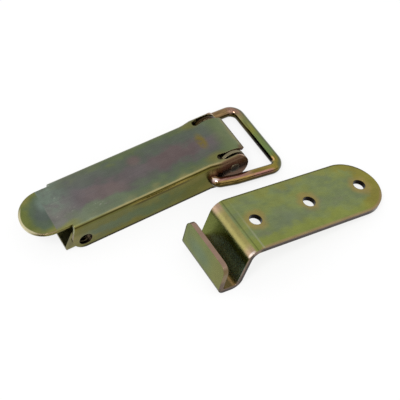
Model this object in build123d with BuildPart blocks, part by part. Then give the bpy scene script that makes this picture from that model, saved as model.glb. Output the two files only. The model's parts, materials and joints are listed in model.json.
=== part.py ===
"""Over-centre latch: pressed base, lever and wire loop, with a separate hooked catch plate beside it."""
import math
import os

from build123d import *

# Frame: +X from the handle to the loop, +Y to the far side, +Z up.
# The origin is on the base's underside, midway between its two mounting holes.

# Stock and clearances
sheet = 1.5
catch_sheet = 2.5
wire_d = 5.0
bend_r = 2.5
base_bend_r = 1.8
running_clearance = 0.08
side_gap = 0.35
screw_hole_d = 6.0

# Lever: a channel over the base, closed and lying flat
lever_width = 30.0
lever_top = 17.2
lever_foot = 0.3
handle_centre_x = -42.6
handle_drop = 4.0
flange_top_x = -35.2
flange_corner_x = -38.9
flange_corner_r = 7.0
padlock_x = -31.1
padlock_z = 5.8
padlock_d = 6.5
flare = 1.0
flare_length = 5.0
flare_before_pivot = 7.0
relief_before_pivot = 5.5
relief_y = 12.1
relief_d = 3.4
tab_half = 11.0
tab_bend_before_pivot = 0.5
tab_curve_r = 15.0
tab_curve_angle = 35.5
tab_corner_r = 0.5

# Pivot of the lever on the base, and pivot of the loop on the lever
pivot_x = 47.0
pivot_z = 9.6
pin_d = 5.0
pin_proud = 0.15
spacer_d = 9.0
spacer_gap = 0.35
loop_before_pivot = 11.2
loop_below_pivot = 2.1

# Base: a channel inside the lever
base_left_x = -40.3
floor_past_pivot = 3.5
wall_top = 10.5
wall_slant = 4.1
wall_corner_r = 1.5
ear_r = 7.6
base_screw_spacing = 44.0

# Wire loop, with its bar resting on the ground
loop_reach = 34.5
loop_arm_gap = 0.6
loop_knee = 10.0
loop_splay_at_knee = 1.9
loop_splay_at_bar = 3.5
loop_entry_r = 3.0
loop_knee_r = 12.0
loop_corner_r = 5.0
loop_end_gap = 0.3

# Catch plate, lying on its hook and on its round end
catch_hole_1_x = 35.6
catch_y = -52.0
catch_turn = 0.9
catch_width = 31.3
catch_hole_pitch = 30.5
catch_end_margin = 9.8
catch_riser_top = -12.4
catch_riser_lean = 7.2
catch_lip_inside = -22.3
catch_depth = 23.3
catch_lip_height = 17.0
catch_bend_r = 6.5
catch_hook_r = 2.7
catch_foot_r = 1.2
catch_lip_corner_r = 4.0

# Sizes that follow from the ones above
lever_half = lever_width / 2
lobe_half = lever_half + flare
handle_r = lever_half - bend_r
lobe_r = lever_top - pivot_z
base_half = lever_half - sheet - side_gap
flare_end_x = pivot_x - flare_before_pivot
flare_start_x = flare_end_x - flare_length
relief_x = pivot_x - relief_before_pivot
tab_flat_x = pivot_x - tab_bend_before_pivot
floor_right_x = pivot_x + floor_past_pivot
wire_r = wire_d / 2
loop_x = pivot_x - loop_before_pivot
loop_z = pivot_z - loop_below_pivot
loop_droop = math.degrees(math.asin((loop_z - wire_r) / loop_reach))
loop_half_at_lever = lever_half + loop_arm_gap + wire_r
loop_half_at_knee = loop_half_at_lever + loop_splay_at_knee
loop_half_at_bar = loop_half_at_lever + loop_splay_at_bar
catch_end = 2 * catch_hole_pitch + catch_end_margin
hook_floor = catch_sheet - catch_depth
riser_foot = catch_riser_top + hook_floor * math.tan(math.radians(catch_riser_lean))
hook_outer_r = catch_hook_r + catch_sheet
hook_lift = hook_outer_r * math.tan(math.radians(45.0 - catch_riser_lean / 2))
hook_centre_x = riser_foot + catch_sheet / math.cos(math.radians(catch_riser_lean)) - hook_lift
hook_centre_z = hook_outer_r - catch_depth
rest_run = catch_end - hook_centre_x
rest_rise = hook_centre_z + catch_sheet
rest_angle = math.asin(hook_outer_r / math.hypot(rest_run, rest_rise)) - math.atan2(rest_rise, rest_run)
catch_z = catch_end * math.sin(rest_angle) + catch_sheet * math.cos(rest_angle)
turn = math.radians(catch_turn)
catch_across = (math.sin(turn), -math.cos(turn), 0)
catch_along = (math.cos(rest_angle) * math.cos(turn), math.cos(rest_angle) * math.sin(turn), -math.sin(rest_angle))
catch_up = (math.sin(rest_angle) * math.cos(turn), math.sin(rest_angle) * math.sin(turn), math.cos(rest_angle))
catch_origin = (catch_hole_1_x, catch_y, catch_z)


# Base: channel with upright walls that end in round ears
with BuildPart() as base:
    with BuildSketch(Plane.YZ.offset(base_left_x)):
        with BuildLine():
            FilletPolyline((0, 0), (-base_half, 0), (-base_half, pivot_z + ear_r), radius=base_bend_r)
            offset(amount=sheet, side=Side.RIGHT)
        make_face()
    extrude(amount=pivot_x + ear_r - base_left_x)
    mirror(about=Plane.XZ)
    # Side outline of the walls, slanted at the left end
    with BuildSketch(Plane.XZ) as wall_side:
        with BuildLine():
            Polyline(
                (base_left_x, 0),
                (floor_right_x, 0),
                (pivot_x, pivot_z - ear_r),
                (pivot_x, wall_top),
                (base_left_x + wall_slant, wall_top),
                (base_left_x, base_bend_r),
                close=True,
            )
        make_face()
        fillet(wall_side.vertices().group_by(Axis.Y)[-1].sort_by(Axis.X)[0], radius=wall_corner_r)
        with Locations((pivot_x, pivot_z)):
            Circle(ear_r)
    extrude(amount=lever_half, both=True, mode=Mode.INTERSECT)
    # Floor stops near the pivot so that the lever's tab can swing through
    with BuildSketch(Plane.XY):
        with Locations(((floor_right_x + pivot_x + ear_r) / 2, 0)):
            Rectangle(pivot_x + ear_r - floor_right_x, 2 * (base_half - sheet))
    extrude(amount=pivot_z, mode=Mode.SUBTRACT)
    # Screw holes, pivot hole and padlock hole
    with BuildSketch(Plane.XY):
        with GridLocations(base_screw_spacing, 0, 2, 1):
            Circle(screw_hole_d / 2)
    extrude(amount=sheet, mode=Mode.SUBTRACT)
    with BuildSketch(Plane.XZ):
        with Locations((pivot_x, pivot_z)):
            Circle(pin_d / 2 + running_clearance)
        with Locations((padlock_x, padlock_z)):
            Circle(padlock_d / 2)
    extrude(amount=lever_half, both=True, mode=Mode.SUBTRACT)

# Lever: near half of the channel, then mirrored
with BuildPart() as lever:
    # Channel section at each end and on both sides of the flare
    for station, half in (
        (flange_corner_x, lever_half),
        (flare_start_x, lever_half),
        (flare_end_x, lobe_half),
        (pivot_x + lobe_r, lobe_half),
    ):
        with BuildSketch(Plane.YZ.offset(station)):
            with BuildLine():
                FilletPolyline((0, lever_top), (-half, lever_top), (-half, lever_foot), radius=bend_r)
                offset(amount=sheet, side=Side.LEFT)
            make_face()
    loft(ruled=True)
    # Slanted left end of the flange with its rounded foot
    with BuildSketch(Plane.XZ.offset(handle_r)):
        with BuildLine():
            edge = FilletPolyline(
                (flange_top_x, lever_top),
                (flange_corner_x, lever_foot),
                (0, lever_foot),
                radius=flange_corner_r,
            )
            Polyline(
                edge @ 1,
                (0, 0),
                (flange_corner_x - sheet, 0),
                (flange_corner_x - sheet, lever_top),
                edge @ 0,
            )
        make_face()
    extrude(amount=lever_half, mode=Mode.SUBTRACT)
    # Round end round the pivot
    with BuildSketch(Plane.XZ.offset(tab_half)):
        with BuildLine():
            Polyline(
                (flare_end_x, lever_foot),
                (pivot_x, pivot_z - lobe_r),
                (pivot_x, lever_top),
                (pivot_x + lobe_r, lever_top),
                (pivot_x + lobe_r, lever_foot),
                close=True,
            )
        make_face()
        with Locations((pivot_x, pivot_z)):
            Circle(lobe_r, mode=Mode.SUBTRACT)
    extrude(amount=lever_half, mode=Mode.SUBTRACT)
    # Slit between the tab and the flange, with its relief hole
    with BuildSketch(Plane.XY.offset(lever_top)):
        with BuildLine():
            Polyline(
                (relief_x, -relief_y + relief_d / 2),
                (relief_x + relief_d, -tab_half),
                (tab_flat_x, -tab_half),
                (tab_flat_x, 0),
                (pivot_x + lobe_r, 0),
                (pivot_x + lobe_r, sheet - lobe_half),
                (relief_x + relief_d / 2, sheet - lobe_half),
                (relief_x, -relief_y - relief_d / 2),
                close=True,
            )
        make_face()
        with Locations((relief_x, -relief_y)):
            Circle(relief_d / 2)
    extrude(amount=-bend_r - sheet, mode=Mode.SUBTRACT)
    # Tab that curves down at its end
    with BuildSketch(Plane.XZ):
        with BuildLine():
            flat = Line((relief_x + relief_d, lever_top), (tab_flat_x, lever_top))
            TangentArc(
                flat @ 1,
                (
                    tab_flat_x + tab_curve_r * math.sin(math.radians(tab_curve_angle)),
                    lever_top - tab_curve_r * (1 - math.cos(math.radians(tab_curve_angle))),
                ),
                tangent=flat % 1,
            )
            offset(amount=sheet, side=Side.RIGHT)
        make_face()
    extrude(amount=tab_half)
    tab_tip = lever.edges().filter_by(lambda e: abs(e.length - sheet) < 0.01).group_by(Axis.X)[-1]
    fillet(tab_tip.sort_by(Axis.Y)[0], radius=tab_corner_r)
    # Flat tongue up to the crease of the handle
    with BuildSketch(Plane.XY.offset(lever_top)):
        with Locations(((handle_centre_x + flange_top_x) / 2, -handle_r / 2)):
            Rectangle(flange_top_x - handle_centre_x, handle_r)
    extrude(amount=-sheet)
    mirror(about=Plane.XZ)
    # Round handle end, bent down a little
    drop = math.radians(handle_drop)
    crease = Plane(
        origin=(handle_centre_x, 0, lever_top),
        x_dir=(math.cos(drop), 0, math.sin(drop)),
        z_dir=(-math.sin(drop), 0, math.cos(drop)),
    )
    with BuildSketch(crease):
        Circle(handle_r)
        with Locations((handle_r / 2, 0)):
            Rectangle(handle_r, 2 * handle_r, mode=Mode.SUBTRACT)
    extrude(amount=-sheet)
    # Padlock hole, pivot hole and loop hole
    with BuildSketch(Plane.XZ):
        with Locations((padlock_x, padlock_z)):
            Circle(padlock_d / 2)
        with Locations((pivot_x, pivot_z)):
            Circle(pin_d / 2)
        with Locations((loop_x, loop_z)):
            Circle(wire_r + running_clearance)
    extrude(amount=lobe_half, both=True, mode=Mode.SUBTRACT)

# Pivot pin, riveted into the lever's lobes and turning in the base's ears
with BuildPart() as pivot_pin:
    with BuildSketch(Plane.XZ):
        with Locations((pivot_x, pivot_z)):
            Circle(pin_d / 2)
    extrude(amount=lobe_half + pin_proud, both=True)
    chamfer(pivot_pin.edges().filter_by(GeomType.CIRCLE), length=pin_proud)

# Spacers on the pin between the ears and the lobes
spacer_t = lobe_half - sheet - base_half - spacer_gap
with BuildPart() as spacer_near:
    with BuildSketch(Plane.XZ.offset(base_half)):
        with Locations((pivot_x, pivot_z)):
            Circle(spacer_d / 2)
            Circle(pin_d / 2 + running_clearance, mode=Mode.SUBTRACT)
    extrude(amount=spacer_t)

with BuildPart() as spacer_far:
    with BuildSketch(Plane.XZ.offset(-base_half)):
        with Locations((pivot_x, pivot_z)):
            Circle(spacer_d / 2)
            Circle(pin_d / 2 + running_clearance, mode=Mode.SUBTRACT)
    extrude(amount=-spacer_t)

# Wire loop, its ends turned in through the lever's flanges
droop = math.radians(loop_droop)
loop_plane = Plane(
    origin=(loop_x, 0, loop_z),
    x_dir=(math.cos(droop), 0, -math.sin(droop)),
    z_dir=(math.sin(droop), 0, math.cos(droop)),
)
wire_end = base_half + loop_end_gap
with BuildPart() as loop:
    with BuildLine(loop_plane) as wire:
        FilletPolyline(
            (0, -wire_end),
            (0, -loop_half_at_lever),
            (loop_knee, -loop_half_at_knee),
            (loop_reach, -loop_half_at_bar),
            (loop_reach, loop_half_at_bar),
            (loop_knee, loop_half_at_knee),
            (0, loop_half_at_lever),
            (0, wire_end),
            radius=(loop_entry_r, loop_knee_r, loop_corner_r, loop_corner_r, loop_knee_r, loop_entry_r),
        )
    with BuildSketch(Plane(origin=wire.line @ 0, z_dir=wire.line % 0)):
        Circle(wire_r)
    sweep()

# Catch plate: strip folded into a hook, with a round end and screw holes
catch_side = Plane(origin=catch_origin, x_dir=catch_along, z_dir=catch_across)
catch_top = Plane(origin=catch_origin, x_dir=catch_along, z_dir=catch_up)
with BuildPart() as catch_plate:
    with BuildSketch(catch_side):
        with BuildLine():
            FilletPolyline(
                (catch_end, 0),
                (catch_riser_top, 0),
                (riser_foot, hook_floor),
                (catch_lip_inside, hook_floor),
                (catch_lip_inside, catch_lip_height - catch_depth),
                radius=(catch_bend_r, catch_hook_r, catch_foot_r),
            )
            offset(amount=catch_sheet, side=Side.LEFT)
        make_face()
    extrude(amount=catch_width / 2, both=True)
    ends = catch_plate.edges().filter_by(lambda e: abs(e.length - catch_sheet) < 0.01)
    fillet(ends.sort_by(Axis.X)[:2], radius=catch_lip_corner_r)
    ends = catch_plate.edges().filter_by(lambda e: abs(e.length - catch_sheet) < 0.01)
    fillet(ends.sort_by(Axis.X)[-2:], radius=catch_width / 2 - 0.01)
    with BuildSketch(catch_top):
        with Locations((0, 0), (catch_hole_pitch, 0), (2 * catch_hole_pitch, 0)):
            Circle(screw_hole_d / 2)
    extrude(amount=-catch_sheet, mode=Mode.SUBTRACT)

os.makedirs("parts", exist_ok=True)
base.part.label = "base"
export_step(base.part, "parts/base.step")
lever.part.label = "lever"
export_step(lever.part, "parts/lever.step")
pivot_pin.part.label = "pivot_pin"
export_step(pivot_pin.part, "parts/pivot_pin.step")
spacer_near.part.label = "spacer_near"
export_step(spacer_near.part, "parts/spacer_near.step")
spacer_far.part.label = "spacer_far"
export_step(spacer_far.part, "parts/spacer_far.step")
loop.part.label = "loop"
export_step(loop.part, "parts/loop.step")
catch_plate.part.label = "catch_plate"
export_step(catch_plate.part, "parts/catch_plate.step")
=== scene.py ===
"""Looks for the over-centre latch and its catch plate: yellow-plated steel on a pale studio floor."""
import json
import math

import bpy
from mathutils import Matrix, Vector

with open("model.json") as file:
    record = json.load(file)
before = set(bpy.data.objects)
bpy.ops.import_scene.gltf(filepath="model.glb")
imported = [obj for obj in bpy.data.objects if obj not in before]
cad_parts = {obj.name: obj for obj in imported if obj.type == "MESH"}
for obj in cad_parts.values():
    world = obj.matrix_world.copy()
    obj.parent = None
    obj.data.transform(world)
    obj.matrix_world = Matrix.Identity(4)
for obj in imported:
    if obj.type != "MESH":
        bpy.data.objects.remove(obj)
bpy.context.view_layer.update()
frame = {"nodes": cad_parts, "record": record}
nodes = frame["nodes"]
mounts = {mount["name"]: mount for mount in frame["record"]["mounts"]}
scene = bpy.context.scene
MM = 0.001

# Camera, as solved from the photograph
IMAGE_PX = 400
FOCAL_PX = 947.63
SENSOR_MM = 36.0
CAMERA_YAW = math.radians(30.16)
CAMERA_ELEVATION = math.radians(52.90)
CAMERA_EYE = Vector((-109.42, -252.52, 358.68)) * MM
CAMERA_CLIP = (0.01, 20.0)

# Studio: lengths in metres, a soft box is its direction, the cosines of its edge and its extra light
FLOOR_SIZE = 6.0
FLOOR_GREY = (0.9, 0.9, 0.9, 1.0)
FLOOR_WHITE = 0.8
SKY_LEVEL = 1.10
BACK_BOX = ((-0.79, 0.50, 0.35), (0.93, 0.985), 0.9)
FRONT_BOX = ((0.30, -0.57, 0.76), (0.90, 0.97), 0.7)
KEY_PLACE = Vector((-0.35, -0.25, 0.75))
KEY_AIM = Vector((0.02, -0.02, 0.0))
KEY_SIZE = 0.2
KEY_WATTS = 2.5

# Plating: worn edge, shares of light and dark, spread of the roughness, and relief
EDGE_RADIUS = 0.35 * MM
EDGE_COSINES = (0.80, 0.985)
CLOUD_SHADE = 0.07
STREAK_SHADE = 0.035
SMOOTHER = 0.05
ROUGHER = 0.06
CLOUD_ROUGHER = 0.04
GRAIN_HEIGHT = 0.02 * MM
GRAIN_STRENGTH = 0.25
SHEET_WEAR = (164, 148, 112)
CATCH_WEAR = (112, 98, 70)

# Places on the lever and the loop, in millimetres
CREASE_X = -42.6
SLIT_X = 42.0
TAB_END_X = 54.8
LOOP_HALF = 22.0
PADLOCK = Vector(mounts["padlock_hole"]["pos_m"]) / MM
PADLOCK_RADIUS = mounts["padlock_hole"]["dims"]["r_mm"]
WALL_SKIN = (0.05, 0.11)

# Catch plate as it lies, in millimetres: origin on its top over the first hole, along, across and up
FIRST_HOLE = mounts["catch_hole_1"]
HOLE_RADIUS = FIRST_HOLE["dims"]["r_mm"]
CATCH_SHEET = FIRST_HOLE["dims"]["length_mm"]
HOLE_ROW = (Vector(mounts["catch_hole_3"]["pos_m"]) - Vector(FIRST_HOLE["pos_m"])) / MM
HOLE_PITCH = HOLE_ROW.length / 2
CATCH_UP = Vector(FIRST_HOLE["axis"])
CATCH_ALONG = HOLE_ROW.normalized()
CATCH_ACROSS = CATCH_ALONG.cross(CATCH_UP)
CATCH_ORIGIN = Vector(FIRST_HOLE["pos_m"]) / MM + CATCH_UP * CATCH_SHEET / 2
ROUND_END = 55.1
RISER_TOP = -12.4
RISER_SLOPE = 0.126


class Tree:
    """Short ways to add nodes to one node tree."""

    def __init__(self, tree):
        self.tree = tree
        tree.nodes.clear()

    def add(self, kind, **settings):
        node = self.tree.nodes.new(kind)
        for name, value in settings.items():
            setattr(node, name, value)
        return node

    def put(self, socket, value):
        """Link a socket to another one, or set it to a plain value."""
        if isinstance(value, bpy.types.NodeSocket):
            self.tree.links.new(value, socket)
        elif socket.type == "RGBA":
            socket.default_value = (*value[:3], 1.0)
        else:
            socket.default_value = value

    def math(self, operation, a, b=0.0):
        node = self.add("ShaderNodeMath", operation=operation)
        self.put(node.inputs[0], a)
        self.put(node.inputs[1], b)
        return node.outputs[0]

    def chain(self, operation, values):
        total = values[0]
        for value in values[1:]:
            total = self.math(operation, total, value)
        return total

    def sum(self, *values):
        return self.chain("ADD", values)

    def times(self, *values):
        return self.chain("MULTIPLY", values)

    def most(self, *values):
        return self.chain("MAXIMUM", values)

    def less(self, a, b):
        return self.math("SUBTRACT", a, b)

    def share(self, a, b):
        return self.math("DIVIDE", a, b)

    def size(self, a):
        return self.math("ABSOLUTE", a)

    def ramp(self, value, low, high, start=0.0, end=1.0):
        """Smooth step of value from start at low to end at high; low may be the greater."""
        node = self.add("ShaderNodeMapRange", interpolation_type="SMOOTHSTEP")
        self.put(node.inputs["Value"], value)
        node.inputs["From Min"].default_value = low
        node.inputs["From Max"].default_value = high
        node.inputs["To Min"].default_value = start
        node.inputs["To Max"].default_value = end
        return node.outputs[0]

    def mix(self, factor, a, b, blend="MIX"):
        node = self.add("ShaderNodeMix", data_type="RGBA", blend_type=blend)
        self.put(node.inputs[0], factor)
        self.put(node.inputs[6], a)
        self.put(node.inputs[7], b)
        return node.outputs[2]

    def tint(self, base, screen_colour, *masks):
        """Base with a colour over it where all the masks hold; a plain number is its strength."""
        return self.mix(self.times(*masks), base, srgb(*screen_colour))

    def noise(self, vector, scale, detail=2.0, roughness=0.5):
        node = self.add("ShaderNodeTexNoise")
        self.put(node.inputs["Vector"], vector)
        node.inputs["Scale"].default_value = scale
        node.inputs["Detail"].default_value = detail
        node.inputs["Roughness"].default_value = roughness
        return node.outputs["Fac"]

    def colours(self, value, stops):
        """Colour ramp; each stop is its place from 0 to 1 and a screen colour."""
        node = self.add("ShaderNodeValToRGB")
        self.put(node.inputs[0], value)
        ramp = node.color_ramp
        while len(ramp.elements) < len(stops):
            ramp.elements.new(0.5)
        for element, (place, screen_colour) in zip(ramp.elements, stops):
            element.position = place
            element.color = (*srgb(*screen_colour), 1.0)
        return node.outputs[0]

    def stretched(self, vector, factors):
        node = self.add("ShaderNodeVectorMath", operation="MULTIPLY")
        self.put(node.inputs[0], vector)
        node.inputs[1].default_value = factors
        return node.outputs[0]

    def dot(self, a, b):
        node = self.add("ShaderNodeVectorMath", operation="DOT_PRODUCT")
        self.put(node.inputs[0], a)
        self.put(node.inputs[1], b)
        return node.outputs["Value"]

    def split(self, vector):
        node = self.add("ShaderNodeSeparateXYZ")
        self.put(node.inputs[0], vector)
        return node.outputs

    def distance(self, a, b):
        return self.math("SQRT", self.sum(self.times(a, a), self.times(b, b)))

    def spot(self, a, b, centre, radii, soft=0.5):
        """Soft ellipse in two measures, 1 inside it."""
        da = self.share(self.less(a, centre[0]), radii[0])
        db = self.share(self.less(b, centre[1]), radii[1])
        return self.ramp(self.distance(da, db), 1 - soft, 1 + soft, 1.0, 0.0)


def srgb(r, g, b):
    """Linear colour from screen values of 0 to 255."""
    return tuple(
        c / 255 / 12.92 if c <= 10 else ((c / 255 + 0.055) / 1.055) ** 2.4 for c in (r, g, b)
    )


def plated(name, paint, rough, wear=SHEET_WEAR, grain=(0.05, 1.0, 1.0)):
    """Chromated zinc: a painted film colour with streaks, worn edges and a fine grain.

    paint gets the tree with place, in millimetres, and normal, both in the piece's own axes.
    """
    material = bpy.data.materials.new(name)
    material.use_nodes = True
    t = Tree(material.node_tree)
    coord = t.add("ShaderNodeTexCoord")
    t.place = t.stretched(coord.outputs["Object"], (1 / MM, 1 / MM, 1 / MM))
    t.normal = coord.outputs["Normal"]
    colour = paint(t)
    # Cloudy film and lengthwise streaks
    cloud = t.noise(t.place, 0.16, 4.0, 0.55)
    streak = t.noise(t.stretched(t.place, grain), 1.5, 3.0, 0.6)
    cloud_shade = t.ramp(cloud, 0.3, 0.7, -CLOUD_SHADE, CLOUD_SHADE)
    streak_shade = t.ramp(streak, 0.3, 0.7, -STREAK_SHADE, STREAK_SHADE)
    colour = t.mix(1.0, colour, t.sum(cloud_shade, streak_shade, 1.0), "MULTIPLY")
    # Worn edges
    bevel = t.add("ShaderNodeBevel", samples=4)
    bevel.inputs["Radius"].default_value = EDGE_RADIUS
    true_normal = t.add("ShaderNodeNewGeometry").outputs["Normal"]
    edge = t.ramp(t.dot(bevel.outputs[0], true_normal), *EDGE_COSINES, 1.0, 0.0)
    rub_and_glint = t.ramp(t.noise(t.place, 0.9, 3.0, 0.6), 0.35, 0.65, 0.1, 0.65)
    colour = t.tint(colour, wear, edge, rub_and_glint)
    # Uneven gloss and fine relief
    shader = t.add("ShaderNodeBsdfPrincipled")
    t.put(shader.inputs["Base Color"], colour)
    shader.inputs["Metallic"].default_value = 1.0
    specks = t.noise(t.place, 1.1, 3.0, 0.6)
    speckled = t.ramp(specks, 0.3, 0.7, rough - SMOOTHER, rough + ROUGHER)
    clouded = t.ramp(cloud, 0.35, 0.65, 0.0, CLOUD_ROUGHER)
    t.put(shader.inputs["Roughness"], t.sum(speckled, clouded))
    bump = t.add("ShaderNodeBump")
    bump.inputs["Strength"].default_value = GRAIN_STRENGTH
    bump.inputs["Distance"].default_value = GRAIN_HEIGHT
    t.put(bump.inputs["Height"], t.sum(t.noise(t.place, 2.2, 4.0, 0.6), t.times(streak, 0.5)))
    t.put(bump.inputs["Normal"], bevel.outputs[0])
    t.put(shader.inputs["Normal"], bump.outputs[0])
    out = t.add("ShaderNodeOutputMaterial")
    t.put(out.inputs[0], shader.outputs[0])
    return material


def uneven(t, scale, reach, stretch=(1.0, 1.0, 1.0)):
    """Slow shift of up to reach millimetres either way, which frays the borders of the colours."""
    return t.ramp(t.noise(t.stretched(t.place, stretch), scale, 3.0, 0.6), 0.25, 0.75, -reach, reach)


def hole_wall(t, from_axis, radius):
    """1 on the wall of a hole."""
    return t.ramp(from_axis, radius + WALL_SKIN[0], radius + WALL_SKIN[1], 1.0, 0.0)


def padlock_wall(t, x, z):
    return hole_wall(t, t.distance(t.less(x, PADLOCK.x), t.less(z, PADLOCK.z)), PADLOCK_RADIUS)


def lever_top(t, x, y, wobble):
    """Top of the lever: mauve grey middle, grey green, then olive to the rims."""
    loose = t.sum(y, wobble)
    tighter = t.sum(y, t.times(wobble, 0.4))
    top = t.colours(t.share(t.size(t.sum(loose, 0.8)), 16.0), [
        (0.10, (106, 99, 99)),
        (0.36, (98, 100, 92)),
        (0.52, (96, 107, 86)),
        (0.68, (102, 113, 82)),
        (0.86, (126, 124, 84)),
    ])
    # Slate band beyond the middle, green far rim
    top = t.tint(top, (95, 100, 92), t.ramp(loose, 2.0, 5.0), t.ramp(loose, 12.0, 9.0), 0.65)
    top = t.tint(top, (94, 107, 80), t.ramp(t.sum(y, t.times(wobble, 0.6)), 8.5, 12.5), 0.8)
    # Stronger mauve patches
    left_patch = t.spot(x, loose, (-15.8, -3.0), (11.0, 4.2))
    small_patch = t.spot(x, y, (4.9, 6.2), (3.2, 2.6), 0.6)
    right_patch = t.spot(x, loose, (23.5, -0.3), (13.0, 4.6))
    top = t.tint(top, (116, 101, 98), t.most(left_patch, small_patch), 0.85)
    top = t.tint(top, (104, 90, 89), right_patch, 0.85)
    # Lighter and bluer towards the handle, pale along the near rim, olive beside the slits
    top = t.tint(top, (114, 110, 114), t.ramp(x, 0.0, -30.0), 0.35)
    top = t.tint(top, (120, 131, 106), t.ramp(loose, -4.0, -9.0), t.ramp(x, 20.0, -30.0), 0.7)
    by_far_slit = t.spot(x, y, (39.0, 12.5), (5.0, 2.5), 0.6)
    by_near_slit = t.spot(x, y, (40.0, -11.0), (5.0, 2.5), 0.6)
    top = t.tint(top, (120, 116, 64), t.most(by_far_slit, by_near_slit), 0.7)
    # Pale haze beside the handle's crease, yellow olive at the near corner there
    patchy = t.ramp(t.noise(t.place, 0.22, 4.0, 0.6), 0.30, 0.62, 0.25, 0.95)
    haze = t.times(t.ramp(x, -26.0, -38.0), patchy, t.ramp(tighter, -13.5, -9.0))
    haze_colour = t.mix(t.ramp(loose, -5.0, 4.0), srgb(124, 122, 116), srgb(118, 132, 118))
    top = t.mix(haze, top, haze_colour)
    top = t.tint(top, (138, 138, 76), t.ramp(tighter, -9.5, -12.0), t.ramp(x, -28.0, -38.0), 0.8)
    # Tab: olive green, tan towards its end, a copper near corner and painted shade as a dark line at its
    # end
    top = t.tint(top, (112, 124, 86), t.ramp(x, SLIT_X, SLIT_X + 8.0), 0.85)
    near_end = t.ramp(t.sum(x, t.times(wobble, 0.3)), TAB_END_X - 2.8, TAB_END_X - 0.2)
    top = t.tint(top, (134, 128, 84), near_end, 0.7)
    top = t.tint(top, (100, 76, 54), t.spot(x, y, (TAB_END_X - 1.0, -10.4), (1.6, 1.6), 0.6), 0.8)
    top = t.tint(top, (66, 54, 36), t.ramp(x, TAB_END_X - 0.5, TAB_END_X), 0.8)
    # Yellow stain before the tab
    stain = t.spot(x, y, (38.4, 0.7), (2.1, 4.4), 0.6)
    return t.tint(top, (122, 108, 52), stain, t.ramp(t.noise(t.place, 0.5), 0.3, 0.6, 0.35, 0.9))


def lever_handle(t, x, y, wobble):
    """Round handle end: grey green to olive; along its rim a painted highlight line, pale at the left,
    then tan.
    """
    from_centre = t.distance(t.less(x, CREASE_X), y)
    handle = t.colours(t.share(t.sum(from_centre, t.times(wobble, 0.6)), 13.0), [
        (0.35, (91, 100, 92)),
        (0.62, (95, 108, 86)),
        (0.80, (112, 119, 72)),
        (0.92, (130, 128, 76)),
    ])
    handle = t.tint(handle, (103, 113, 58), t.ramp(x, -48.0, -53.0), 0.7)
    # Painted highlight along the rim: pale at the left, tan elsewhere
    at_left = t.ramp(x, -49.0, -53.0)
    rim_highlight = t.ramp(t.sum(from_centre, t.times(at_left, 0.5)), 11.8, 12.2)
    rim_colour = t.mix(at_left, srgb(146, 128, 100), srgb(206, 198, 160))
    handle = t.mix(t.times(rim_highlight, t.ramp(y, 9.5, 4.0)), handle, rim_colour)
    # Haze that spills over the crease
    return t.tint(handle, (122, 138, 126), t.spot(x, y, (CREASE_X - 0.2, 4.8), (1.9, 3.8), 0.9), 0.7)


def scratched(t, top, x, y):
    """Pale scratches, mostly in three rubbed places."""
    marks = t.noise(t.stretched(t.place, (0.7, 1.7, 1.0)), 0.9, 3.0, 0.7)
    rubbed = t.most(
        t.spot(x, y, (-21.5, -8.6), (4.5, 1.8)),
        t.spot(x, y, (-37.8, 3.9), (3.0, 2.2)),
        t.spot(x, y, (-36.0, -4.0), (5.0, 3.0), 0.7),
    )
    return t.tint(top, (158, 160, 146), t.ramp(marks, 0.58, 0.68), t.sum(t.times(rubbed, 0.6), 0.06))


def lever_flange(t, x, y, z, ny, wobble):
    """Flanges: olive, golden at top and foot, copper towards the pivot, painted shade along the lower
    edge, painted light inside the far lobe.
    """
    flange = t.colours(t.share(t.sum(x, 45.0, t.times(wobble, 2.5)), 100.0), [
        (0.02, (136, 124, 66)),
        (0.18, (91, 99, 74)),
        (0.50, (81, 92, 56)),
        (0.72, (88, 88, 28)),
        (0.84, (112, 96, 48)),
        (0.93, (100, 80, 60)),
    ])
    height = t.sum(z, wobble)
    flange = t.tint(flange, (104, 98, 34), t.ramp(height, 1.0, 6.0, 0.85, 0.0))
    flange = t.tint(flange, (104, 100, 46), t.ramp(height, 9.0, 13.0), 0.7)
    golden = t.times(t.ramp(z, 8.0, 14.0), t.ramp(x, 5.0, 30.0), t.ramp(x, SLIT_X, SLIT_X - 5.0))
    flange = t.tint(flange, (106, 100, 44), golden, 0.7)
    flange = t.tint(flange, (100, 74, 58), t.ramp(t.sum(x, t.times(wobble, 0.8)), 32.0, 41.0), 0.9)
    # Painted shade along the lower edge, by the floor
    flange = t.tint(flange, (30, 26, 12), t.ramp(z, 1.0, 2.1, 0.9, 0.0))
    # Painted light on the inside of the far lobe, which lies in shade
    inside = t.times(t.ramp(y, 13.5, 14.0), t.ramp(ny, -0.5, -0.8), t.ramp(x, 38.0, 41.0))
    return t.tint(flange, (180, 172, 112), inside)


def painted_bend_reflections(t, colour, x, z, ny):
    """Near bend: painted reflections, a pale highlight line and a dark line, and over its middle a lighter
    highlight band and a second dark line.
    """
    on_bend = t.ramp(x, SLIT_X, SLIT_X - 4.0)
    pale = t.times(t.ramp(ny, -0.38, -0.52), t.ramp(ny, -0.74, -0.64), t.ramp(z, 14.5, 15.5))
    colour = t.tint(colour, (150, 138, 100), pale, on_bend, t.ramp(x, -25.0, -12.0, 0.1, 1.0), 0.7)
    dark = t.times(t.ramp(ny, -0.70, -0.78), t.ramp(ny, -0.93, -0.85), t.ramp(z, 14.5, 15.2))
    colour = t.tint(colour, (58, 48, 16), dark, on_bend, 0.8)
    middle = t.times(t.ramp(x, -10.0, -2.0), t.ramp(x, 28.0, 18.0))
    band = t.times(t.ramp(ny, -0.80, -0.90), t.ramp(z, 14.7, 15.0))
    colour = t.tint(colour, (150, 132, 70), band, middle, 0.7)
    second = t.times(t.ramp(z, 15.0, 14.7), t.ramp(z, 13.3, 13.7), t.ramp(ny, -0.85, -0.95))
    return t.tint(colour, (70, 60, 16), second, middle, 0.8)


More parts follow.
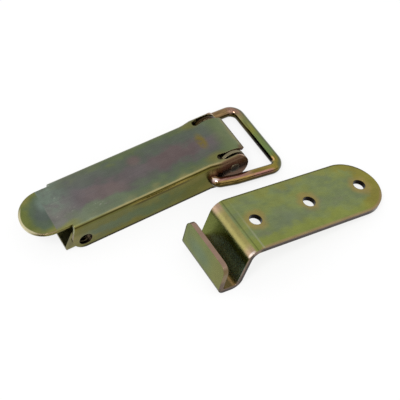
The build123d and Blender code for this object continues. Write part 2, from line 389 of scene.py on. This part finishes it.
def paint_lever(t):
    x, y, z = t.split(t.place)
    nx, ny, _ = t.split(t.normal)
    wobble = uneven(t, 0.11, 2.6, (1.0, 1.4, 1.0))
    on_handle = t.ramp(x, CREASE_X - 0.3, CREASE_X + 0.3, 1.0, 0.0)
    top = t.mix(on_handle, lever_top(t, x, y, wobble), lever_handle(t, x, y, wobble))
    top = scratched(t, top, x, y)
    facing_side = t.ramp(t.size(ny), 0.35, 0.75)
    colour = t.mix(facing_side, top, lever_flange(t, x, y, z, ny, wobble))
    colour = painted_bend_reflections(t, colour, x, z, ny)
    # Cut ends of the flanges: beige
    colour = t.tint(colour, (122, 110, 76), t.ramp(nx, -0.4, -0.8), t.ramp(z, 13.0, 12.0))
    # Round cut edges over the pivot: copper, olive on the handle side of the far one
    on_lobes = t.times(t.ramp(t.size(y), 14.2, 14.5), t.ramp(x, SLIT_X - 1.0, SLIT_X + 1.0))
    far_back = t.times(t.ramp(y, -4.0, 4.0), t.ramp(x, 50.0, 45.0))
    lobe_colour = t.mix(far_back, srgb(150, 122, 100), srgb(108, 104, 64))
    colour = t.mix(t.times(on_lobes, t.ramp(t.size(ny), 0.6, 0.3)), colour, lobe_colour)
    # Painted shade on the wall of the padlock hole
    return t.tint(colour, (56, 44, 34), padlock_wall(t, x, z))


def paint_base(t):
    """Olive tan with painted shade along the foot; near ear grey tan, far ear dark brown with painted
    shade on its top edge and painted light high on its inner face; painted shade in the padlock hole.
    """
    x, y, z = t.split(t.place)
    _, ny, nz = t.split(t.normal)
    colour = t.colours(t.noise(t.place, 0.12, 3.0, 0.6), [
        (0.3, (122, 118, 74)),
        (0.5, (116, 112, 66)),
        (0.7, (104, 100, 72)),
    ])
    # Painted shade along the foot, by the floor
    colour = t.tint(colour, (44, 36, 22), t.ramp(z, 0.4, 1.2, 0.85, 0.0))
    # Far ear: painted shade on its top edge, painted light high on its inner face
    far_ear = t.mix(t.ramp(nz, 0.2, 0.5), srgb(92, 74, 56), srgb(54, 40, 22))
    far_ear = t.tint(far_ear, (188, 172, 130), t.ramp(ny, -0.5, -0.8), t.ramp(z, 14.0, 16.0))
    ear = t.mix(t.ramp(y, -4.0, 4.0), srgb(128, 120, 94), far_ear)
    colour = t.mix(t.ramp(x, 36.0, 44.0), colour, ear)
    # Painted shade on the wall of the padlock hole
    return t.tint(colour, (76, 64, 50), padlock_wall(t, x, z))


def paint_pin(t):
    """Grey brown, for the pin and the spacers."""
    return t.colours(t.noise(t.place, 0.5, 3.0, 0.6), [
        (0.3, (92, 84, 66)),
        (0.5, (98, 92, 76)),
        (0.7, (82, 80, 66)),
    ])


def loop_film(t, x, y, ny, wobble):
    """Film of the wire: arms, bar and drawing marks."""
    # Near arm: pink with a golden flank at the lever, then golden with a pink flank; far arm brown
    to_gold = t.ramp(t.sum(x, t.times(wobble, 0.5)), 50.0, 57.0)
    upper = t.mix(to_gold, srgb(152, 112, 102), srgb(140, 122, 60))
    flank = t.mix(to_gold, srgb(136, 112, 64), srgb(150, 108, 98))
    near_arm = t.mix(t.ramp(ny, -0.30, -0.60), upper, flank)
    arm = t.mix(t.ramp(y, -3.0, 3.0), near_arm, srgb(135, 110, 76))
    # Bar: golden at the near corner, then green and olive, brown at the far corner
    bar = t.colours(t.share(t.sum(y, LOOP_HALF, t.times(wobble, 0.4)), 2 * LOOP_HALF), [
        (0.02, (140, 124, 56)),
        (0.14, (128, 124, 56)),
        (0.24, (112, 134, 84)),
        (0.46, (116, 129, 74)),
        (0.60, (128, 127, 62)),
        (0.74, (125, 129, 82)),
        (0.83, (136, 129, 86)),
        (0.93, (147, 115, 99)),
    ])
    on_bar = t.ramp(x, 63.0, 67.0)
    # Drawing marks along the wire
    arm_marks = t.noise(t.stretched(t.place, (0.06, 1.0, 1.0)), 1.6, 2.0, 0.6)
    bar_marks = t.noise(t.stretched(t.place, (1.0, 0.06, 1.0)), 1.6, 2.0, 0.6)
    marks = t.sum(t.times(arm_marks, t.less(1.0, on_bar)), t.times(bar_marks, on_bar))
    return t.mix(1.0, t.mix(on_bar, arm, bar), t.ramp(marks, 0.3, 0.7, 0.78, 1.22), "MULTIPLY")


def paint_loop(t):
    x, y, _ = t.split(t.place)
    nx, ny, nz = t.split(t.normal)
    wobble = uneven(t, 0.14, 5.0)
    colour = loop_film(t, x, y, ny, wobble)
    # Painted shade: dark brown on the lower half and on the far side of the arms
    colour = t.tint(colour, (60, 51, 20), t.ramp(t.sum(nz, t.times(wobble, 0.02)), 0.62, 0.15))
    far_side = t.times(t.ramp(ny, 0.45, 0.75), t.ramp(x, 68.0, 65.0))
    colour = t.tint(colour, (54, 44, 26), far_side, t.ramp(y, -3.0, 3.0, 0.85, 0.5))
    # Painted shade: inside of the bar dark, almost black at its near end; its outside darker grey green
    inside_colour = t.mix(t.ramp(y, -4.0, 8.0), srgb(22, 18, 8), srgb(62, 54, 22))
    inside = t.times(t.ramp(nx, -0.60, -0.78), t.ramp(x, 62.0, 66.0))
    colour = t.mix(inside, colour, inside_colour)
    colour = t.tint(colour, (84, 92, 70), t.ramp(nx, 0.00, 0.45), t.ramp(x, 66.0, 69.0), 0.8)
    # Painted highlights on the bend at the near flange and inside the near corner
    rub_and_glint = t.times(t.spot(x, y, (35.8, -17.2), (1.6, 1.3), 0.6), t.ramp(nz, 0.4, 0.8))
    colour = t.tint(colour, (244, 226, 220), rub_and_glint, 0.85)
    corner = t.times(t.spot(x, y, (68.4, -17.2), (0.7, 1.8), 0.6), t.ramp(nx, -0.2, -0.45))
    return t.tint(colour, (238, 192, 132), corner, t.ramp(nz, 0.4, 0.7), 0.8)


def catch_flat(t, s, c, from_middle, from_hole):
    """Flat of the catch plate: olive green, greyer in clouds, golden rims and a tan halo at each hole."""
    wobble = uneven(t, 0.10, 3.0)
    flat = t.colours(t.noise(t.stretched(t.place, (1.0, 1.6, 1.0)), 0.075, 3.0, 0.55), [
        (0.30, (136, 142, 80)),
        (0.45, (128, 138, 86)),
        (0.56, (120, 131, 91)),
        (0.68, (119, 125, 93)),
    ])
    flat = t.tint(flat, (112, 122, 97), t.spot(s, c, (15.0, 6.0), (9.0, 4.5), 0.6), 0.7)
    inset = t.sum(t.ramp(c, -4.0, 6.0, -0.5, 2.0), t.ramp(s, 52.0, 62.0, 0.0, 2.5))
    rim = t.ramp(t.sum(from_middle, wobble, inset), 9.5, 14.0)
    rim_colour = t.mix(t.ramp(c, -6.0, 4.0), srgb(134, 137, 74), srgb(134, 142, 70))
    rim_colour = t.tint(rim_colour, (140, 129, 52), t.ramp(s, 50.0, 62.0))
    flat = t.mix(t.times(rim, 0.8), flat, rim_colour)
    halo = t.ramp(t.sum(from_hole, t.times(wobble, 0.35)), 3.4, 7.2, 1.0, 0.0)
    flat = t.tint(flat, (154, 133, 80), halo, 0.75)
    # Tan along the near rim
    near_rim = t.times(t.ramp(from_middle, 13.9, 15.2), t.ramp(c, 4.0, 10.0), t.ramp(s, -8.0, -6.0))
    return t.tint(flat, (160, 132, 102), near_rim, 0.7)


def catch_fold(t, plate, s, c, h):
    """Fold: painted tan highlight on the bend, pinkish at its ends, then the olive riser with painted
    light low on its near part, and the brown floor of the hook.
    """
    # Painted highlight: tan band on the bend, pinkish at its ends
    bend = t.times(t.ramp(s, -10.4, -9.2, 1.0, 0.0), t.ramp(h, -6.0, -3.0))
    bend_colour = t.mix(t.ramp(t.size(c), 9.0, 14.5), srgb(156, 144, 88), srgb(178, 146, 128))
    plate = t.mix(t.times(bend, 0.8), plate, bend_colour)
    # Painted highlight at the near corner of the bend
    bright_corner = t.times(t.spot(s, c, (-11.5, 15.0), (1.2, 0.6), 0.6), t.ramp(h, -5.0, -4.0))
    plate = t.tint(plate, (250, 236, 226), bright_corner, 0.8)
    # A dark line and a pale line beside the bend
    plate = t.tint(plate, (70, 72, 40), t.spot(s, h, (-8.7, 0.0), (0.28, 3.0), 0.6), 0.45)
    pale_line = t.spot(s, h, (-5.6, 0.0), (0.45, 2.0), 0.6)
    plate = t.tint(plate, (158, 160, 130), pale_line, t.ramp(c, -14.0, 14.0, 0.1, 0.6))
    # Riser, with painted light as a lighter teal field low on its near part
    riser = t.times(t.ramp(s, -12.5, -10.5, 1.0, 0.0), t.ramp(s, -21.0, -19.5))
    plate = t.tint(plate, (110, 118, 56), riser, t.ramp(h, -4.0, -6.0))
    low = t.times(t.ramp(t.sum(h, t.times(c, -0.8)), -5.0, -10.0), t.ramp(h, -7.0, -10.0))
    plate = t.tint(plate, (166, 192, 186), riser, low, t.ramp(c, -12.0, -6.0))
    return t.tint(plate, (132, 106, 68), t.ramp(h, -17.5, -20.0), t.ramp(s, -22.2, -21.8))


def catch_lip(t, c, h):
    """Lip: olive with a green patch, golden towards the near end, with painted light on the side inside
    the hook.
    """
    patch = t.spot(c, h, (-3.0, -15.0), (8.0, 4.0), 0.7)
    colour = t.mix(t.times(patch, 0.8), srgb(111, 119, 66), srgb(99, 116, 86))
    colour = t.tint(colour, (120, 117, 58), t.ramp(c, 3.0, 12.0), 0.6)
    # Painted light on the side that faces into the hook
    return t.tint(colour, (176, 182, 156), t.ramp(t.dot(t.normal, CATCH_ALONG), 0.5, 0.8))


def catch_edge(t, s, c, h, lip, lip_top):
    """Cut edges and the lip's top: pinkish brown, darker round the hook, with painted shade, almost black,
    underneath and at the far end of the lip's top.
    """
    edge = t.colours(t.noise(t.place, 0.35, 3.0, 0.6), [
        (0.30, (128, 102, 88)),
        (0.55, (114, 93, 77)),
        (0.75, (104, 89, 60)),
    ])
    edge = t.tint(edge, (120, 103, 70), lip, 0.8)
    edge = t.tint(edge, (84, 66, 54), t.ramp(h, -14.0, -17.0), 0.8)
    edge = t.tint(edge, (150, 124, 108), lip_top)
    # Painted shade at the far end of the lip's top
    edge = t.tint(edge, (46, 34, 24), lip_top, t.ramp(c, -13.4, -14.8))
    # Painted shade, almost black, under the cut edges
    behind_riser = t.less(s, t.sum(t.times(h, RISER_SLOPE), RISER_TOP))
    under = t.most(
        t.times(t.ramp(h, -0.35, -0.9), t.ramp(s, -8.0, -6.0)),
        t.times(t.ramp(behind_riser, 0.6, 1.5), t.ramp(h, -2.0, -4.0), t.ramp(s, -21.0, -20.0)),
        t.ramp(h, -21.3, -22.3),
    )
    return t.tint(edge, (36, 28, 24), under, 0.9)


def paint_catch(t):
    def measure(way):
        return t.less(t.dot(t.place, way), CATCH_ORIGIN.dot(way))

    # Places along, across (plus is near) and above the plate
    s, c, h = measure(CATCH_ALONG), measure(CATCH_ACROSS), measure(CATCH_UP)
    from_middle = t.distance(t.most(t.less(s, ROUND_END), 0.0), c)
    nearest = t.math("MINIMUM", t.most(t.math("ROUND", t.share(s, HOLE_PITCH)), 0.0), 2.0)
    from_hole = t.distance(t.less(s, t.times(nearest, HOLE_PITCH)), c)
    lip = t.ramp(s, -22.6, -21.8, 1.0, 0.0)
    plate = catch_fold(t, catch_flat(t, s, c, from_middle, from_hole), s, c, h)
    plate = t.mix(lip, plate, catch_lip(t, c, h))
    # Cut edges
    facing_side = t.ramp(t.size(t.dot(t.normal, CATCH_ACROSS)), 0.35, 0.7)
    facing_up = t.dot(t.normal, CATCH_UP)
    end_rim = t.times(t.ramp(t.size(facing_up), 0.3, 0.6, 1.0, 0.0), t.ramp(s, 50.0, 53.0))
    lip_top = t.times(lip, t.ramp(facing_up, 0.5, 0.9))
    cut = t.most(facing_side, end_rim, lip_top)
    plate = t.mix(cut, plate, catch_edge(t, s, c, h, lip, lip_top))
    # Painted shade: thin dark lines along the far rim, at the foot of the lip and at its far end
    far_rim = t.times(t.ramp(from_middle, 14.7, 15.3), t.ramp(c, -3.0, -9.0), t.ramp(s, -9.0, -7.0))
    plate = t.tint(plate, (62, 58, 38), far_rim, 0.7)
    lip_foot = t.times(t.ramp(h, -19.2, -20.6), t.ramp(s, -23.2, -23.8))
    lip_end = t.times(lip, t.ramp(c, -14.7, -15.4))
    plate = t.tint(plate, (48, 44, 28), t.most(lip_foot, lip_end), 0.7)
    # Painted shade on the walls of the holes: almost black
    return t.tint(plate, (20, 15, 12), hole_wall(t, from_hole, HOLE_RADIUS))


def dress():
    """A plated material on every piece."""
    finishes = {
        "base": plated("plated_base", paint_base, rough=0.30),
        "lever": plated("plated_lever", paint_lever, rough=0.25),
        "pivot_pin": plated("plated_pin", paint_pin, rough=0.30),
        "spacer_near": plated("plated_spacer_near", paint_pin, rough=0.32),
        "spacer_far": plated("plated_spacer_far", paint_pin, rough=0.32),
        "loop": plated("plated_wire", paint_loop, rough=0.13, grain=(1.0, 1.0, 1.0)),
        "catch_plate": plated("plated_catch", paint_catch, rough=0.27, wear=CATCH_WEAR),
    }
    for name, node in nodes.items():
        node.data.materials.clear()
        node.data.materials.append(finishes[name])


def pale_floor():
    """Pale floor that keeps the shadow and looks white to the camera and in reflections."""
    bpy.ops.mesh.primitive_plane_add(size=FLOOR_SIZE, location=(0, 0, 0))
    floor = bpy.context.object
    floor.name = "floor"
    material = bpy.data.materials.new("floor")
    material.use_nodes = True
    t = Tree(material.node_tree)
    diffuse = t.add("ShaderNodeBsdfDiffuse")
    diffuse.inputs["Color"].default_value = FLOOR_GREY
    white = t.add("ShaderNodeEmission")
    path = t.add("ShaderNodeLightPath").outputs
    seen = t.most(path["Is Camera Ray"], path["Is Glossy Ray"], path["Is Transmission Ray"])
    mixed = t.add("ShaderNodeMixShader")
    t.put(mixed.inputs[0], t.times(seen, FLOOR_WHITE))
    t.put(mixed.inputs[1], diffuse.outputs[0])
    t.put(mixed.inputs[2], white.outputs[0])
    out = t.add("ShaderNodeOutputMaterial")
    t.put(out.inputs[0], mixed.outputs[0])
    floor.data.materials.append(material)


def white_surroundings():
    """Even white world with two soft boxes, at the back on the left and above in front."""
    world = bpy.data.worlds.new("studio")
    scene.world = world
    world.use_nodes = True
    t = Tree(world.node_tree)
    direction = t.add("ShaderNodeTexCoord").outputs["Generated"]

    def soft_box(way, edge, level):
        return t.ramp(t.dot(direction, Vector(way).normalized()), *edge, 0.0, level)

    background = t.add("ShaderNodeBackground")
    t.put(background.inputs["Strength"], t.sum(soft_box(*BACK_BOX), soft_box(*FRONT_BOX), SKY_LEVEL))
    out = t.add("ShaderNodeOutputWorld")
    t.put(out.inputs[0], background.outputs[0])


def key_lamp():
    lamp = bpy.data.lights.new("key", "AREA")
    lamp.energy = KEY_WATTS
    lamp.size = KEY_SIZE
    key = bpy.data.objects.new("key", lamp)
    key.location = KEY_PLACE
    key.rotation_mode = "QUATERNION"
    key.rotation_quaternion = (KEY_PLACE - KEY_AIM).to_track_quat("Z", "Y")
    scene.collection.objects.link(key)


def photo_camera():
    back = Vector((
        -math.sin(CAMERA_YAW) * math.cos(CAMERA_ELEVATION),
        -math.cos(CAMERA_YAW) * math.cos(CAMERA_ELEVATION),
        math.sin(CAMERA_ELEVATION),
    ))
    right = Vector((math.cos(CAMERA_YAW), -math.sin(CAMERA_YAW), 0))
    up = back.cross(right)
    data = bpy.data.cameras.new("photo_camera")
    data.sensor_width = SENSOR_MM
    data.lens = FOCAL_PX / IMAGE_PX * SENSOR_MM
    data.clip_start, data.clip_end = CAMERA_CLIP
    camera = bpy.data.objects.new("photo_camera", data)
    turn = Matrix((right, up, back)).transposed().to_4x4()
    camera.matrix_world = Matrix.Translation(CAMERA_EYE) @ turn
    scene.collection.objects.link(camera)
    scene.camera = camera


dress()
pale_floor()
white_surroundings()
key_lamp()
photo_camera()
scene.view_settings.view_transform = "Standard"
